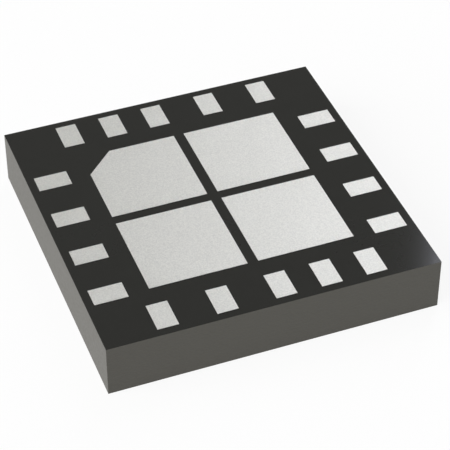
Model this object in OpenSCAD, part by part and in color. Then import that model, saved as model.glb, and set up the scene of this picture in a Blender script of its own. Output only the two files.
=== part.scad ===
// Land grid array chip package: a thin laminate with a moulded cap, 4 mm square.
// It lies on its cap with its solderable lands up, so the cap's outer face is at z = 0.
// The origin is the centre of that face, and the index corner is at -X +Y. Units are millimetres.

/* [Package] */
// Side of the square package
body_side = 4; // [3.9:0.05:5]
// Height of the moulded cap, from its outer face to the laminate
cap_h = 0.535; // [0.45:0.005:0.8]
// Thickness of the laminate's glass and resin core
core_t = 0.1; // [0.06:0.005:0.3]
// Thickness of the copper on the core's die side
foil_t = 0.012; // [0.009:0.001:0.018]
// How far the solder mask on the die side covers the copper
mask_cover = 0.008; // [0.004:0.001:0.015]
// Thickness of the solder mask on the land side
land_mask_t = 0.02; // [0.01:0.001:0.03]

/* [Perimeter lands] */
// Width of a perimeter land, along its side of the package
land_w = 0.25; // [0.2:0.01:0.35]
// Length of a perimeter land, across its side of the package
land_l = 0.4; // [0.3:0.01:0.45]
// From the package's edge to a land's outer end
land_inset = 0.1; // [0.05:0.01:0.15]
// Fine pitch, between the first three lands of a five-land row
pitch_fine = 0.55; // [0.45:0.01:0.6]
// Wide pitch, between all the other lands
pitch_wide = 0.7; // [0.6:0.01:0.72]
// How far the four-land rows are moved along their sides, away from the index corner
side_shift = 0.1125; // [0:0.0125:0.15]
// How far the plated lands stand out of the solder mask
land_proud = 0.003; // [0.001:0.001:0.01]

/* [Ground lands] */
// Side of each of the four ground lands
ground_side = 1.18; // [1.1:0.01:1.25]
// Gap between neighbouring ground lands
ground_gap = 0.13; // [0.08:0.01:0.2]
// Length cut off both edges at the index corner of the first ground land
index_cut = 0.35; // [0.2:0.01:0.4]
// Vias in each row and column under a ground land
ground_via_rows = 3; // [2:1:4]
// From a ground land's edges to the centres of its outer vias
ground_via_margin = 0.25; // [0.23:0.01:0.35]

/* [Inner copper] */
// Diameter of every filled via
via_d = 0.1; // [0.075:0.005:0.125]
// Diameter of the round pad that joins a signal via to its bond finger
via_pad_d = 0.2; // [0.16:0.01:0.24]
// Width of a bond finger
finger_w = 0.12; // [0.09:0.01:0.15]
// From the middle of a side to the tip of its outermost bond finger, along that side
finger_spread = 1.1; // [1:0.01:1.2]
// How far the die paddle's edge lies inside the ground lands' outer edge
paddle_setback = 0.095; // [0.05:0.005:0.15]
// Gap between the die paddle and the tips of the bond fingers
finger_gap = 0.13; // [0.08:0.01:0.16]
// How far the window in the die side's mask uncovers the bond fingers, from their tips
window_reach = 0.12; // [0.1:0.005:0.15]

/* [Die] */
// Side of the square silicon die
die_side = 1.8; // [1.5:0.05:2]
// Thickness of the die
die_t = 0.2; // [0.15:0.01:0.25]
// Thickness of the die attach epoxy
attach_t = 0.02; // [0.01:0.005:0.03]
// How far the die attach spreads past the die's edge
attach_margin = 0.06; // [0.02:0.01:0.1]
// Side of a square bond pad opening in the die's passivation
pad_side = 0.08; // [0.07:0.005:0.09]
// Depth of a bond pad opening
pad_depth = 0.002; // [0.001:0.001:0.004]
// From the die's edge to the centres of the bond pads along it
pad_inset = 0.09; // [0.07:0.01:0.12]
// From the die's corner to the outermost bond pad's centre, along the edge
pad_corner = 0.2; // [0.15:0.01:0.3]

/* [Bond wires] */
// Diameter of a bond wire
wire_d = 0.025; // [0.018:0.001:0.03]
// Diameter of the pressed ball on the die
ball_d = 0.06; // [0.045:0.005:0.065]
// Height of the pressed ball
ball_h = 0.015; // [0.01:0.001:0.02]
// How far the ball's upper and lower rims lie inside its bulge
ball_rim = 0.004; // [0.002:0.001:0.006]
// Height of the cone between the ball and its wire
ball_cone_h = 0.008; // [0.004:0.001:0.012]
// Height of the loop's crown over the die's face
loop_h = 0.12; // [0.08:0.01:0.15]
// Radius of the bend between the loop's neck and its crown
bend_r = 0.04; // [0.03:0.005:0.05]
// From a bond finger's tip to the centre of the wire's stitch, along the finger
stitch_inset = 0.06; // [0.05:0.005:0.07]
// Length of the stitch, along the wire
stitch_l = 0.07; // [0.05:0.005:0.08]
// Width of the stitch
stitch_w = 0.044; // [0.03:0.002:0.05]
// Thickness of the flattened stitch
stitch_t = 0.008; // [0.006:0.001:0.012]

/* [Index dot] */
// Diameter of the dot that marks the index corner on the cap's outer face
dot_d = 0.3; // [0.2:0.05:0.5]
// Depth of the dot
dot_depth = 0.02; // [0.01:0.005:0.04]
// From the package's two nearest sides to the dot's centre
dot_inset = 0.45; // [0.35:0.05:0.8]

/* [Hidden] */
// Corners of a wire's section
wire_sides = 8;
// Straight steps in a wire's bend, and in its long fall to the finger
bend_steps = 4;
fall_steps = 6;
$fn = 32;

// Heights of the joining planes, over the cap's outer face
core_z = cap_h + mask_cover + foil_t;
land_mask_z = core_z + core_t;
copper_z = core_z - foil_t;
die_top_z = copper_z - attach_t;
die_face_z = die_top_z - die_t;

// Distances from the package's middle, at right angles to a side
land_r = body_side / 2 - land_inset - land_l / 2;
ground_inner_r = ground_gap / 2;
ground_outer_r = ground_inner_r + ground_side;
paddle_r = ground_outer_r - paddle_setback;
tip_r = paddle_r + finger_gap;
window_r = tip_r + window_reach;
pad_r = die_side / 2 - pad_inset;

function sum_of_first(list, n) = n == 0 ? 0 : list[n - 1] + sum_of_first(list, n - 1);
function span_of(gaps) = sum_of_first(gaps, len(gaps));
function row_places(gaps, shift) =
    [for (k = [0:len(gaps)]) sum_of_first(gaps, k) - span_of(gaps) / 2 + shift];

five_row = [pitch_fine, pitch_fine, pitch_wide, pitch_wide];
four_row = [pitch_wide, pitch_wide, pitch_wide];
// The sides clockwise from the index corner: the gaps between a row's lands, and how far it is moved
sides = [[five_row, 0], [four_row, side_shift], [five_row, 0], [four_row, -side_shift]];
// Each terminal's turn about Z, and its place along its own side
spots = [for (s = [0:3]) for (along = row_places(sides[s][0], sides[s][1])) [-90 * s, along]];

// Bond fingers and bond pads keep the order of their lands, drawn in towards the die
row_reach = span_of(five_row) / 2;
finger_share = finger_spread / row_reach;
pad_share = (die_side / 2 - pad_corner) / row_reach;

function turned(p, angle) =
    [p[0] * cos(angle) - p[1] * sin(angle), p[0] * sin(angle) + p[1] * cos(angle)];
function unit(v) = v / norm(v);
function via_place(spot) = turned([spot[1], land_r], spot[0]);
function tip_place(spot) = turned([spot[1] * finger_share, tip_r], spot[0]);
function pad_place(spot) = turned([spot[1] * pad_share, pad_r], spot[0]);
function stitch_place(spot) =
    tip_place(spot) + stitch_inset * unit(via_place(spot) - tip_place(spot));

// The ground lands' quarters, as signs of X and Y, clockwise from the index corner
quarters = [[-1, 1], [1, 1], [1, -1], [-1, -1]];

function two_digits(n) = n < 10 ? str("0", n) : str(n);
ground_names = [for (k = [1:len(quarters)]) str("ground_land_", k)];
terminal_names = [for (k = [1:len(spots)]) str("terminal_", two_digits(k))];
wire_names = [for (k = [1:len(spots)]) str("bond_wire_", two_digits(k))];

module slab(side, z, t) {
    translate([-side / 2, -side / 2, z]) cube([side, side, t]);
}

module land_outline(spot) {
    rotate([0, 0, spot[0]]) translate([spot[1], land_r]) square([land_w, land_l], center = true);
}

// A bond finger runs from its tip by the paddle to the round pad on its via
module finger_outline(spot) {
    tip = tip_place(spot);
    run = via_place(spot) - tip;
    translate(tip) rotate([0, 0, atan2(run[1], run[0])]) {
        translate([0, -finger_w / 2]) square([norm(run), finger_w]);
        translate([norm(run), 0]) circle(d = via_pad_d);
    }
}

module finger(spot) {
    translate([0, 0, copper_z]) linear_extrude(foil_t) finger_outline(spot);
}

module signal_via(spot) {
    translate(concat(via_place(spot), core_z)) cylinder(d = via_d, h = core_t);
}

module land_layer(t) {
    translate([0, 0, land_mask_z]) linear_extrude(t) children();
}

// The first ground land has its outer corner cut off, which shows where terminal 1 is
module ground_outline(quarter) {
    cut = quarter == quarters[0] ? index_cut : 0;
    corner = cut > 0
        ? [[ground_outer_r, ground_outer_r - cut], [ground_outer_r - cut, ground_outer_r]]
        : [[ground_outer_r, ground_outer_r]];
    points = concat(
        [[ground_inner_r, ground_inner_r], [ground_outer_r, ground_inner_r]],
        corner,
        [[ground_inner_r, ground_outer_r]]
    );
    polygon([for (p = points) [p[0] * quarter[0], p[1] * quarter[1]]]);
}

module ground_vias(quarter) {
    first = ground_inner_r + ground_via_margin;
    step = (ground_side - 2 * ground_via_margin) / (ground_via_rows - 1);
    for (column = [0:ground_via_rows - 1], row = [0:ground_via_rows - 1])
        translate([quarter[0] * (first + column * step), quarter[1] * (first + row * step), core_z])
            cylinder(d = via_d, h = core_t);
}

// Rings along a bond wire that spans d in plan, from the ball on its pad to the stitch on its finger.
// Each is [distance along the wire, height over the copper, angle of travel, half width, half depth].
function wire_rings(d) = let(
    wire_r = wire_d / 2,
    ball_r = ball_d / 2,
    face = attach_t + die_t,
    seat = face - pad_depth,
    crown = face + loop_h,
    run = d - stitch_l / 2 - bend_r,
    fall = crown - wire_d,
    ball = [
        [0, seat, 90, ball_r - ball_rim, ball_r - ball_rim],
        [0, seat + ball_h / 2, 90, ball_r, ball_r],
        [0, seat + ball_h, 90, ball_r - ball_rim, ball_r - ball_rim],
        [0, seat + ball_h + ball_cone_h, 90, wire_r, wire_r],
    ],
    bend = [
        for (k = [0:bend_steps]) let(a = 90 * (1 - k / bend_steps))
            [bend_r * (1 - sin(a)), crown - bend_r * (1 - cos(a)), a, wire_r, wire_r],
    ],
    long_fall = [
        for (k = [1:fall_steps]) let(u = k / fall_steps)
            [bend_r + run * u, crown - fall * u * u, -atan(2 * fall * u / run), wire_r, wire_r],
    ],
    stitch = [for (height = [stitch_t, 0]) [d, height, -90, stitch_w / 2, stitch_l / 2]]
) concat(ball, bend, long_fall, stitch);

// The corners of one ring of a wire that starts at a point of the plan and travels in a unit direction
function ring_points(ring, start, travel) = [
    for (k = [0:wire_sides - 1]) let(
        turn = 360 * k / wire_sides,
        across = ring[3] * cos(turn),
        depth = ring[4] * sin(turn),
        along = ring[0] - depth * sin(ring[2]),
        height = ring[1] + depth * cos(ring[2]),
        place = start + along * travel + across * [-travel[1], travel[0]]
    ) [place[0], place[1], copper_z - height],
];

module wire_solid(spot) {
    start = pad_place(spot);
    reach = stitch_place(spot) - start;
    rings = wire_rings(norm(reach));
    last_ring = (len(rings) - 1) * wire_sides;
    walls = [
        for (first = [0:wire_sides:last_ring - wire_sides], k = [0:wire_sides - 1]) let(
            a = first + k,
            b = first + (k + 1) % wire_sides
        ) each [[a, b, b + wire_sides], [a, b + wire_sides, a + wire_sides]],
    ];
    ball_end = [for (k = [wire_sides - 1:-1:0]) k];
    stitch_end = [for (k = [0:wire_sides - 1]) last_ring + k];
    polyhedron(
        points = [for (ring = rings) each ring_points(ring, start, unit(reach))],
        faces = concat([ball_end, stitch_end], walls)
    );
}

module die_solid() {
    difference() {
        slab(die_side, die_face_z, die_t);
        for (spot = spots)
            translate(concat(pad_place(spot), die_face_z)) rotate([0, 0, spot[0]])
                cube([pad_side, pad_side, 2 * pad_depth], center = true);
    }
}

module attach_solid() {
    slab(die_side + 2 * attach_margin, die_top_z, attach_t);
}

module index_dot() {
    translate([dot_inset - body_side / 2, body_side / 2 - dot_inset, 0])
        cylinder(d = dot_d, h = dot_depth);
}

// The cap is moulded round the die and its wires, and fills the window in the mask
module mold_cap() {
    color("#575651") difference() {
        union() {
            slab(body_side, 0, cap_h);
            slab(2 * window_r, cap_h, mask_cover + foil_t);
        }
        index_dot();
        die_solid();
        attach_solid();
        slab(2 * paddle_r, copper_z, foil_t);
        for (spot = spots) {
            finger(spot);
            wire_solid(spot);
        }
    }
}

module die() {
    color("slategray") die_solid();
}

module die_attach() {
    color("silver") attach_solid();
}

// The mask's window lays the paddle bare with the fingers' tips, so one bath plates them all
module die_paddle() {
    color("#d6d6d2") slab(2 * paddle_r, copper_z, foil_t);
}

// The die side's mask covers the vias' pads, and its window leaves the paddle and the fingers' tips bare
module die_side_mask() {
    color("#333331") difference() {
        slab(body_side, cap_h, mask_cover + foil_t);
        slab(2 * window_r, cap_h, mask_cover + foil_t);
        for (spot = spots) finger(spot);
    }
}

module laminate_core() {
    color("#575651") difference() {
        slab(body_side, core_z, core_t);
        for (spot = spots) signal_via(spot);
        for (quarter = quarters) ground_vias(quarter);
    }
}

module land_side_mask() {
    color("#333331") land_layer(land_mask_t) difference() {
        square([body_side, body_side], center = true);
        for (spot = spots) land_outline(spot);
        for (quarter = quarters) ground_outline(quarter);
    }
}

module ground_land(quarter) {
    color("#d6d6d2") {
        ground_vias(quarter);
        land_layer(land_mask_t + land_proud) ground_outline(quarter);
    }
}

// A terminal is one run of plated copper: bond finger, filled via and land
module terminal(spot) {
    color("#d6d6d2") {
        finger(spot);
        signal_via(spot);
        land_layer(land_mask_t + land_proud) land_outline(spot);
    }
}

module bond_wire(spot) {
    color("gold") wire_solid(spot);
}

mold_cap();
die();
die_attach();
die_paddle();
die_side_mask();
laminate_core();
land_side_mask();
for (k = [0:len(quarters) - 1])
    ground_land(quarters[k]);
for (k = [0:len(spots) - 1]) {
    terminal(spots[k]);
    bond_wire(spots[k]);
}
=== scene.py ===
"""Looks of a land grid array chip, which lies on its moulded cap with its solder lands up."""

import logging
import math
from abc import ABC, abstractmethod
from dataclasses import dataclass
from enum import Enum
from typing import Any, NamedTuple

import bpy
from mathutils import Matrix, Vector

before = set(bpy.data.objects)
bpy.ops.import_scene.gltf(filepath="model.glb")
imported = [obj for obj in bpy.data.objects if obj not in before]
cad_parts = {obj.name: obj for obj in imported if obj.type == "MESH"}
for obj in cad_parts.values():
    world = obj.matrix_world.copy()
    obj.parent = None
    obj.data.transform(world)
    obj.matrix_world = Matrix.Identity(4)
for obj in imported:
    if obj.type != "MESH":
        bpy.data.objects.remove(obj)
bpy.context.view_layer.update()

LOG = logging.getLogger("chip")
NODES: dict[str, bpy.types.Object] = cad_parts
MM = 0.001
MICRON = 0.000001
# Noise keeps nearly all of its heights between these two, so they are the ends of what it drives.
NOISE_LOW, NOISE_HIGH = 0.3, 0.7
# How many finer layers of noise there are in a grain, and in a saw's streaks
GRAIN_DETAIL, STREAK_DETAIL = 2.0, 1.0
# A surface whose normal has more than this much of Z in it is a broad face, and any other is a side.
FACE_SHARE = 0.5

Tree = bpy.types.NodeTree
Socket = bpy.types.NodeSocket


class Role(Enum):
    """A kind of piece that the package has many of, by the start of its nodes' names."""

    TERMINAL = "terminal_"
    GROUND = "ground_land_"
    WIRE = "bond_wire_"

    def nodes(self) -> list[str]:
        """Names of the CAD nodes of this kind, in order."""
        return sorted(name for name in NODES if name.startswith(self.value))


class Drawn(NamedTuple):
    """The sockets that one kind of surface gives to the shader."""

    colour: Socket
    roughness: Socket
    height_um: Socket


def linear(hex_colour: str) -> tuple[float, float, float, float]:
    """Turn an sRGB hex colour into Blender's linear colour.

    Args:
        hex_colour: Six hex digits, such as "33322f".

    Returns:
        Linear red, green and blue, with an alpha of one.
    """
    channels = [int(hex_colour[i:i + 2], 16) / 255 for i in (0, 2, 4)]
    red, green, blue = (c / 12.92 if c <= 0.04045 else ((c + 0.055) / 1.055) ** 2.4 for c in channels)
    return red, green, blue, 1.0


def shaded(hex_colour: str, share: float) -> tuple[float, float, float, float]:
    """Lighten or darken a colour.

    Args:
        hex_colour: The plain colour, as sRGB hex.
        share: How far it is lightened, or darkened where this is below zero.

    Returns:
        The linear colour, capped at white.
    """
    red, green, blue, alpha = linear(hex_colour)
    return min(1.0, red * (1 + share)), min(1.0, green * (1 + share)), min(1.0, blue * (1 + share)), alpha


def add_node(
    tree: Tree,
    kind: str,
    links: dict[str | int, Socket] | None = None,
    values: dict[str | int, Any] | None = None,
    **settings: Any,
) -> bpy.types.Node:
    """Add one node with its settings, socket values and incoming links.

    Args:
        tree: The node tree that the node goes into.
        kind: The node's type, such as "ShaderNodeTexNoise".
        links: The output socket that feeds each named or numbered input.
        values: The value of each named or numbered input that nothing feeds.
        **settings: Attributes of the node itself.

    Returns:
        The new node.
    """
    node = tree.nodes.new(kind)
    for name, value in settings.items():
        setattr(node, name, value)
    for socket, value in (values or {}).items():
        node.inputs[socket].default_value = value
    for socket, source in (links or {}).items():
        tree.links.new(source, node.inputs[socket])
    return node


def new_material(name: str) -> tuple[bpy.types.Material, Tree]:
    """Make an empty node material.

    Args:
        name: The material's name.

    Returns:
        The material and its cleared node tree.
    """
    material = bpy.data.materials.new(name)
    material.use_nodes = True
    material.node_tree.nodes.clear()
    return material, material.node_tree


@dataclass(frozen=True)
class Skin:
    """One kind of surface, with a grain that varies its tone, its gloss and its height.

    Attributes:
        colour: The plain tone, as sRGB hex.
        roughness: The plain roughness.
        grain_mm: The width of one grain.
        tint_swing: The share by which the grain lightens and darkens the tone.
        gloss_swing: How far the grain moves the roughness up and down.
        relief_um: The height from the grain's lowest to its highest point.
    """

    colour: str
    roughness: float
    grain_mm: float
    tint_swing: float
    gloss_swing: float
    relief_um: float

    def place(self, tree: Tree, stretch: tuple[float, float, float] = (1.0, 1.0, 1.0)) -> Socket:
        """Give the point on the part, in grains from the origin.

        Args:
            tree: The material's node tree.
            stretch: How many times finer the pattern is along X, Y and Z.

        Returns:
            The scaled point.
        """
        where = add_node(tree, "ShaderNodeTexCoord")
        per_metre = 1 / (self.grain_mm * MM)
        scaled = add_node(
            tree,
            "ShaderNodeVectorMath",
            links={0: where.outputs["Object"]},
            values={1: tuple(per_metre * s for s in stretch)},
            operation="MULTIPLY",
        )
        return scaled.outputs[0]

    def pattern(self, tree: Tree) -> Socket:
        """Draw the grain.

        Args:
            tree: The material's node tree.

        Returns:
            The grain's height, from 0 to 1.
        """
        noise = add_node(
            tree,
            "ShaderNodeTexNoise",
            links={"Vector": self.place(tree)},
            values={"Scale": 1.0, "Detail": GRAIN_DETAIL},
        )
        ends = {"From Min": NOISE_LOW, "From Max": NOISE_HIGH}
        return add_node(tree, "ShaderNodeMapRange", links={"Value": noise.outputs[0]}, values=ends).outputs[0]

    def draw(self, tree: Tree) -> Drawn:
        """Draw the tone, gloss and height that follow the grain.

        Args:
            tree: The material's node tree.

        Returns:
            The skin's colour, roughness and height.
        """
        height = self.pattern(tree)
        colour = add_node(
            tree,
            "ShaderNodeMix",
            links={0: height},
            values={6: shaded(self.colour, -self.tint_swing), 7: shaded(self.colour, self.tint_swing)},
            data_type="RGBA",
        )
        gloss = {"To Min": self.roughness - self.gloss_swing, "To Max": self.roughness + self.gloss_swing}
        roughness = add_node(tree, "ShaderNodeMapRange", links={"Value": height}, values=gloss)
        depth = {"To Max": self.relief_um}
        relief = add_node(tree, "ShaderNodeMapRange", links={"Value": height}, values=depth)
        return Drawn(colour.outputs[2], roughness.outputs[0], relief.outputs[0])


@dataclass(frozen=True)
class SawnSkin(Skin):
    """A sawn face: cut filler in the resin, under streaks that run along the blade's way.

    Attributes:
        streak_mm: The width of one streak.
        streak_run: How many times longer than wide a streak is.
        streak_share: The streaks' share of the pattern, of which the filler has the rest.
    """

    streak_mm: float = 0.012
    streak_run: float = 12.0
    streak_share: float = 0.5

    def pattern(self, tree: Tree) -> Socket:
        """Draw cut filler under level streaks.

        Args:
            tree: The material's node tree.

        Returns:
            The cut face's height, from 0 to 1.
        """
        filler = add_node(
            tree,
            "ShaderNodeTexVoronoi",
            links={"Vector": self.place(tree)},
            values={"Scale": 1.0},
            feature="SMOOTH_F1",
        )
        finer = self.grain_mm / self.streak_mm
        run = finer / self.streak_run
        streak = add_node(
            tree,
            "ShaderNodeTexNoise",
            links={"Vector": self.place(tree, (run, run, finer))},
            values={"Scale": 1.0, "Detail": STREAK_DETAIL},
        )
        both = add_node(
            tree,
            "ShaderNodeMix",
            links={2: filler.outputs["Distance"], 3: streak.outputs[0]},
            values={0: self.streak_share},
        )
        ends = {"From Min": NOISE_LOW, "From Max": NOISE_HIGH}
        return add_node(tree, "ShaderNodeMapRange", links={"Value": both.outputs[0]}, values=ends).outputs[0]


@dataclass(frozen=True)
class FlakedSkin(Skin):
    """A face of crystals or flakes, each with a tone of its own."""

    def pattern(self, tree: Tree) -> Socket:
        """Draw flakes of random tone."""
        flake = add_node(
            tree, "ShaderNodeTexVoronoi", links={"Vector": self.place(tree)}, values={"Scale": 1.0}
        )
        return add_node(tree, "ShaderNodeSeparateColor", links={0: flake.outputs["Color"]}).outputs[0]


class Finish(ABC):
    """A real material and the way its surface was made."""

    name: str

    @abstractmethod
    def draw(self, tree: Tree) -> Drawn:
        """Draw the surface into a node tree."""

    @abstractmethod
    def body(self) -> dict[str, Any]:
        """Shader inputs that are the same all over."""

    def build(self) -> bpy.types.Material:
        """Make the material.

        Returns:
            The finished material.
        """
        material, tree = new_material(self.name)
        drawn = self.draw(tree)
        bump = add_node(
            tree,
            "ShaderNodeBump",
            links={"Height": drawn.height_um},
            values={"Strength": 1.0, "Distance": MICRON},
        )
        shader = add_node(
            tree,
            "ShaderNodeBsdfPrincipled",
            links={"Base Color": drawn.colour, "Roughness": drawn.roughness, "Normal": bump.outputs[0]},
            values=self.body(),
        )
        add_node(tree, "ShaderNodeOutputMaterial", links={"Surface": shader.outputs[0]})
        return material


@dataclass(frozen=True)
class Layer(Finish):
    """A moulded, cured or sliced layer, with one skin on its broad faces and another where it was cut.

    Attributes:
        name: The material's name.
        face: The skin of the broad faces.
        cut: The skin of the sides.
        ior: The body's index of refraction, which is about 1.5 in epoxy.
    """

    name: str
    face: Skin
    cut: Skin
    ior: float = 1.5

    def draw(self, tree: Tree) -> Drawn:
        """Draw both skins and tell them apart by the way that the surface faces.

        Args:
            tree: The material's node tree.

        Returns:
            The layer's colour, roughness and height.
        """
        place = add_node(tree, "ShaderNodeTexCoord")
        parts = add_node(tree, "ShaderNodeSeparateXYZ", links={0: place.outputs["Normal"]})
        level = add_node(tree, "ShaderNodeMath", links={0: parts.outputs["Z"]}, operation="ABSOLUTE")
        is_face = add_node(
            tree,
            "ShaderNodeMath",
            links={0: level.outputs[0]},
            values={1: FACE_SHARE},
            operation="GREATER_THAN",
        )
        cut, face = self.cut.draw(tree), self.face.draw(tree)
        colour = add_node(
            tree,
            "ShaderNodeMix",
            links={0: is_face.outputs[0], 6: cut.colour, 7: face.colour},
            data_type="RGBA",
        )
        roughness = add_node(
            tree, "ShaderNodeMix", links={0: is_face.outputs[0], 2: cut.roughness, 3: face.roughness}
        )
        height = add_node(
            tree, "ShaderNodeMix", links={0: is_face.outputs[0], 2: cut.height_um, 3: face.height_um}
        )
        return Drawn(colour.outputs[2], roughness.outputs[0], height.outputs[0])

    def body(self) -> dict[str, Any]:
        """A clear epoxy, glass or silicon body."""
        return {"Metallic": 0.0, "IOR": self.ior}


@dataclass(frozen=True)
class Metal(Finish):
    """A plated, etched or drawn metal.

    Attributes:
        name: The material's name.
        skin: The skin of the whole surface.
    """

    name: str
    skin: Skin

    def draw(self, tree: Tree) -> Drawn:
        """Draw the metal's grain."""
        return self.skin.draw(tree)

    def body(self) -> dict[str, Any]:
        """A bare metal, at the default index of refraction."""
        return {"Metallic": 1.0}


def dress(names: list[str], finish: Finish) -> None:
    """Give CAD nodes a finish.

    Args:
        names: The nodes.
        finish: What they are made of.
    """
    material = finish.build()
    for name in names:
        slots = NODES[name].data.materials
        slots.clear()
        slots.append(material)
        LOG.info("%s: %s", name, material.name)


@dataclass
class Package:
    """The cap, the laminate and its two masks, which one saw cut apart from the panel."""

    # The saw cuts the silica filler flat with the epoxy, so the sides are paler than the faces and even
    # in tone, and the blade leaves fine level streaks that show close up.
    cut: Skin = SawnSkin(
        colour="44423b", roughness=0.45, grain_mm=0.03, tint_swing=0.06, gloss_swing=0.04, relief_um=1.2
    )
    # The mould's spark-eroded floor prints a fine dull grain into the cap's broad face.
    moulded: Skin = Skin(
        colour="2b2a29", roughness=0.55, grain_mm=0.04, tint_swing=0.08, gloss_swing=0.05, relief_um=1.5
    )
    # A curtain-coated mask levels out as it dries: nearly a mirror, with a faint orange peel.
    coated: Skin = Skin(
        colour="272725", roughness=0.06, grain_mm=0.2, tint_swing=0.03, gloss_swing=0.0, relief_um=0.05
    )
    # Cured resin over glass cloth is a dull brown, which shows only with a mask taken off.
    resin: Skin = Skin(
        colour="3a3528", roughness=0.5, grain_mm=0.1, tint_swing=0.1, gloss_swing=0.05, relief_um=1.0
    )

    def dress(self) -> None:
        """Dress the four layers."""
        dress(["mold_cap"], Layer("epoxy mould compound, moulded and sawn", self.moulded, self.cut))
        dress(["laminate_core"], Layer("glass epoxy laminate, pressed and sawn", self.resin, self.cut))
        dress(
            ["land_side_mask", "die_side_mask"],
            Layer("black solder mask, curtain coated and sawn", self.coated, self.cut),
        )


@dataclass
class PlatedCopper:
    """The terminals round the edge, the ground lands and the die paddle, plated in one bath."""

    # Nickel under palladium and a flash of gold is a pale grey with a hint of warmth. It keeps the matt
    # grain of the etched copper below, so it scatters light softly. Real grains are a few thousandths of
    # a millimetre across, and are drawn three times as coarse so that they show.
    plating: Skin = Skin(
        colour="dad9d1", roughness=0.5, grain_mm=0.014, tint_swing=0.11, gloss_swing=0.04, relief_um=0.5
    )

    def dress(self) -> None:
        """Dress the lands and the paddle."""
        dress(
            Role.TERMINAL.nodes() + Role.GROUND.nodes() + ["die_paddle"],
            Metal("copper, nickel palladium gold plated", self.plating),
        )


@dataclass
class Circuit:
    """The die in its epoxy, and the wires that join it to the terminals, all inside the cap."""

    # The face under its nitride layer is a dark mirror, and the diced sides are dull.
    passivated: Skin = Skin(
        colour="3d4250", roughness=0.12, grain_mm=0.06, tint_swing=0.05, gloss_swing=0.02, relief_um=0.02
    )
    diced: Skin = SawnSkin(
        colour="5b5d62", roughness=0.45, grain_mm=0.02, tint_swing=0.06, gloss_swing=0.05, relief_um=0.6
    )
    nitride_ior: float = 1.9
    # Silver flakes in epoxy look like grey paint with a glitter.
    silver: Skin = FlakedSkin(
        colour="a9a9a5", roughness=0.45, grain_mm=0.01, tint_swing=0.15, gloss_swing=0.1, relief_um=1.0
    )
    # Drawn wire is bright and even.
    gold: Skin = Skin(
        colour="f0c05a", roughness=0.22, grain_mm=0.01, tint_swing=0.03, gloss_swing=0.04, relief_um=0.05
    )

    def dress(self) -> None:
        """Dress the die, its epoxy and the wires."""
        dress(["die_attach"], Metal("silver epoxy, dispensed", self.silver))
        dress(
            ["die"],
            Layer("silicon, passivated and diced", self.passivated, self.diced, self.nitride_ior),
        )
        dress(Role.WIRE.nodes(), Metal("gold, drawn", self.gold))


@dataclass(frozen=True)
class Softbox:
    """An upright soft lamp, placed by the angles that it fills as seen from the chip.

    Attributes:
        name: The lamp's name.
        azimuth_deg: Its two sides' azimuths, from +X towards +Y.
        elevation_deg: Its lower and upper edges' elevations.
        radiance: How bright its face is, where a white background is 1.
        colour: Its light, as sRGB hex.
        reach_mm: How far it stands from the chip.
    """

    name: str
    azimuth_deg: tuple[float, float]
    elevation_deg: tuple[float, float]
    radiance: float
    colour: str = "ffffff"
    reach_mm: float = 400.0

    def build(self) -> bpy.types.Object:
        """Stand the lamp up so that it faces the chip.

        Returns:
            The lamp's object.
        """
        reach = self.reach_mm * MM
        first, last = (math.radians(a) for a in self.azimuth_deg)
        low, high = (reach * math.tan(math.radians(e)) for e in self.elevation_deg)
        light = bpy.data.lights.new(self.name, "AREA")
        light.shape = "RECTANGLE"
        light.size = 2 * reach * math.tan((last - first) / 2)
        light.size_y = high - low
        # A flat lamp gives pi times its radiance from each square metre
        light.energy = self.radiance * math.pi * light.size * light.size_y
        light.color = linear(self.colour)[:3]
        lamp = bpy.data.objects.new(self.name, light)
        middle = (first + last) / 2
        way = Vector((math.cos(middle), math.sin(middle), 0.0))
        lamp.location = way * reach + Vector((0.0, 0.0, (low + high) / 2))
        lamp.rotation_mode = "QUATERNION"
        lamp.rotation_quaternion = way.to_track_quat("Z", "Y")
        lamp.visible_camera = False
        bpy.context.scene.collection.objects.link(lamp)
        return lamp


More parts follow.
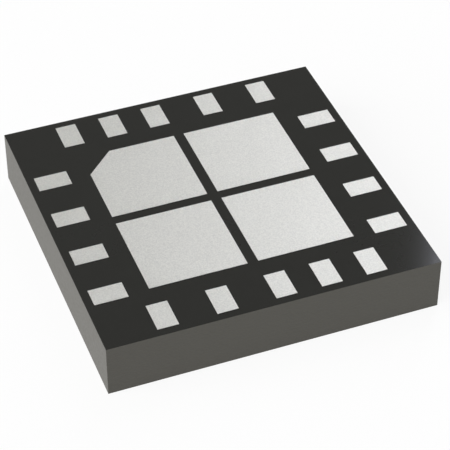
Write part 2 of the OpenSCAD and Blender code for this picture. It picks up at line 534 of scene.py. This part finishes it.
@dataclass(frozen=True)
class StripLight:
    """A tall cool lamp, so far off that it is drawn in the room's directions.

    The solder mask mirrors its feathered edge at one corner, and the matt lands blur all of it into a
    gradient.

    Attributes:
        colour: Its light, as sRGB hex.
        radiance: How bright it is, where a white background is 1.
        azimuth_deg: Its two sides' azimuths, from +X towards +Y.
        elevation_deg: Its lower and upper edges' elevations.
        feather_deg: How wide the feathered edge is, inside the second side.
        feather_power: How soon the light falls off in the feathered edge.
    """

    colour: str = "f0f2ff"
    radiance: float = 4.73
    azimuth_deg: tuple[float, float] = (45.0, 62.86)
    elevation_deg: tuple[float, float] = (10.0, 65.0)
    feather_deg: float = 2.8
    feather_power: float = 5.0

    def draw(self, tree: Tree, way: bpy.types.Node) -> Socket:
        """Draw the lamp in the room's directions.

        Args:
            tree: The world's node tree.
            way: The node that gives the direction's X, Y and Z.

        Returns:
            How bright the lamp is in each direction.
        """
        first, last = (math.radians(a) for a in self.azimuth_deg)
        low, high = (math.sin(math.radians(e)) for e in self.elevation_deg)
        azimuth = add_node(
            tree, "ShaderNodeMath", links={0: way.outputs["Y"], 1: way.outputs["X"]}, operation="ARCTAN2"
        )
        ramp = add_node(
            tree,
            "ShaderNodeMapRange",
            links={"Value": azimuth.outputs[0]},
            values={
                "From Min": last - math.radians(self.feather_deg),
                "From Max": last,
                "To Min": 1.0,
                "To Max": 0.0,
            },
        )
        light = add_node(
            tree,
            "ShaderNodeMath",
            links={0: ramp.outputs[0]},
            values={1: self.feather_power},
            operation="POWER",
        )
        for source, limit, test in (
            (azimuth.outputs[0], first, "GREATER_THAN"),
            (way.outputs["Z"], low, "GREATER_THAN"),
            (way.outputs["Z"], high, "LESS_THAN"),
        ):
            inside = add_node(tree, "ShaderNodeMath", links={0: source}, values={1: limit}, operation=test)
            light = add_node(
                tree,
                "ShaderNodeMath",
                links={0: light.outputs[0], 1: inside.outputs[0]},
                operation="MULTIPLY",
            )
        bright = add_node(
            tree,
            "ShaderNodeMath",
            links={0: light.outputs[0]},
            values={1: self.radiance},
            operation="MULTIPLY",
        )
        return bright.outputs[0]


@dataclass
class Camera:
    """The photograph's camera: where it stands, which way it looks, and its lens."""

    # The point on the floor that it looks at, and from how far
    aim_mm: tuple[float, float, float] = (0.208, 0.194, 0.0)
    distance_mm: float = 23.03
    # The way that it looks: turned from +Y towards +X, and down
    turn_deg: float = 20.84
    down_deg: float = 40.94
    lens_mm: float = 151.9
    sensor_mm: float = 36.0
    # From and to how far it sees
    clip_mm: tuple[float, float] = (0.5, 3000.0)

    def build(self) -> bpy.types.Object:
        """Set the camera up as the scene's own.

        Returns:
            The camera's object.
        """
        data = bpy.data.cameras.new("camera")
        data.lens = self.lens_mm
        data.sensor_width = self.sensor_mm
        data.clip_start, data.clip_end = (limit * MM for limit in self.clip_mm)
        camera = bpy.data.objects.new("camera", data)
        bpy.context.scene.collection.objects.link(camera)
        turn, down = math.radians(self.turn_deg), math.radians(self.down_deg)
        look = Vector((math.sin(turn) * math.cos(down), math.cos(turn) * math.cos(down), -math.sin(down)))
        camera.location = (Vector(self.aim_mm) - look * self.distance_mm) * MM
        camera.rotation_mode = "QUATERNION"
        camera.rotation_quaternion = look.to_track_quat("-Z", "Y")
        bpy.context.scene.camera = camera
        return camera


@dataclass
class Studio:
    """A white card floor in a pale room, with a softbox on the left and a strip light behind on the right."""

    floor_side_mm: float = 4000.0
    floor_colour: str = "f8f8f8"
    # Share of the floor's picture that is plain white, so that only a faint shadow is left in it
    floor_glow: float = 0.9
    # The walls are white up to the first elevation, and from the second on there is only the dim ceiling
    wall_colour: str = "ffffff"
    ceiling_colour: str = "858581"
    wall_top_deg: tuple[float, float] = (5.0, 20.0)
    softbox: Softbox = Softbox(
        name="left softbox", azimuth_deg=(156.0, 222.0), elevation_deg=(10.0, 55.0), radiance=5.0
    )
    strip_light: StripLight = StripLight()

    def build(self) -> None:
        """Make the floor, the room and the lamps."""
        self._build_floor()
        self._build_room()
        self.softbox.build()
        LOG.info("lamp: %s", self.softbox.name)

    def _build_floor(self) -> None:
        """Lay the floor that the chip rests on."""
        half = self.floor_side_mm * MM / 2
        corners = [(-half, -half, 0), (half, -half, 0), (half, half, 0), (-half, half, 0)]
        mesh = bpy.data.meshes.new("floor")
        mesh.from_pydata(corners, [], [range(len(corners))])
        floor = bpy.data.objects.new("floor", mesh)
        bpy.context.scene.collection.objects.link(floor)
        material, tree = new_material("white card, matt")
        card = add_node(tree, "ShaderNodeBsdfDiffuse", values={"Color": linear(self.floor_colour)})
        glow = add_node(tree, "ShaderNodeEmission", values={"Color": (1, 1, 1, 1), "Strength": 1.0})
        ray = add_node(tree, "ShaderNodeLightPath")
        seen = ray.outputs["Is Camera Ray"]
        for kind in ("Is Glossy Ray", "Is Transmission Ray"):
            pair = {0: seen, 1: ray.outputs[kind]}
            seen = add_node(tree, "ShaderNodeMath", links=pair, operation="MAXIMUM").outputs[0]
        share = add_node(
            tree,
            "ShaderNodeMath",
            links={0: seen},
            values={1: self.floor_glow},
            operation="MULTIPLY",
        )
        mixed = add_node(
            tree, "ShaderNodeMixShader", links={0: share.outputs[0], 1: card.outputs[0], 2: glow.outputs[0]}
        )
        add_node(tree, "ShaderNodeOutputMaterial", links={"Surface": mixed.outputs[0]})
        mesh.materials.append(material)
        LOG.info("%s: %s", floor.name, material.name)

    def _build_room(self) -> None:
        """Fill the room with light: white walls, a dim ceiling and the strip light."""
        world = bpy.data.worlds.new("room")
        world.use_nodes = True
        tree = world.node_tree
        tree.nodes.clear()
        place = add_node(tree, "ShaderNodeTexCoord")
        way = add_node(tree, "ShaderNodeSeparateXYZ", links={0: place.outputs["Generated"]})
        low, high = (math.sin(math.radians(e)) for e in self.wall_top_deg)
        level = add_node(
            tree,
            "ShaderNodeMapRange",
            links={"Value": way.outputs["Z"]},
            values={"From Min": low, "From Max": high},
            interpolation_type="SMOOTHSTEP",
        )
        tone = add_node(
            tree,
            "ShaderNodeMix",
            links={0: level.outputs[0]},
            values={6: linear(self.wall_colour), 7: linear(self.ceiling_colour)},
            data_type="RGBA",
        )
        room = add_node(tree, "ShaderNodeBackground", links={"Color": tone.outputs[2]})
        strip = add_node(
            tree,
            "ShaderNodeBackground",
            links={"Strength": self.strip_light.draw(tree, way)},
            values={"Color": linear(self.strip_light.colour)},
        )
        both = add_node(tree, "ShaderNodeAddShader", links={0: room.outputs[0], 1: strip.outputs[0]})
        add_node(tree, "ShaderNodeOutputWorld", links={"Surface": both.outputs[0]})
        bpy.context.scene.world = world


def main() -> None:
    """Build the studio and dress the chip's pieces."""
    logging.basicConfig(level=logging.INFO, format="%(name)s: %(message)s")
    bpy.context.scene.view_settings.view_transform = "Standard"
    Camera().build()
    Studio().build()
    Package().dress()
    PlatedCopper().dress()
    Circuit().dress()


if __name__ == "__main__":
    main()
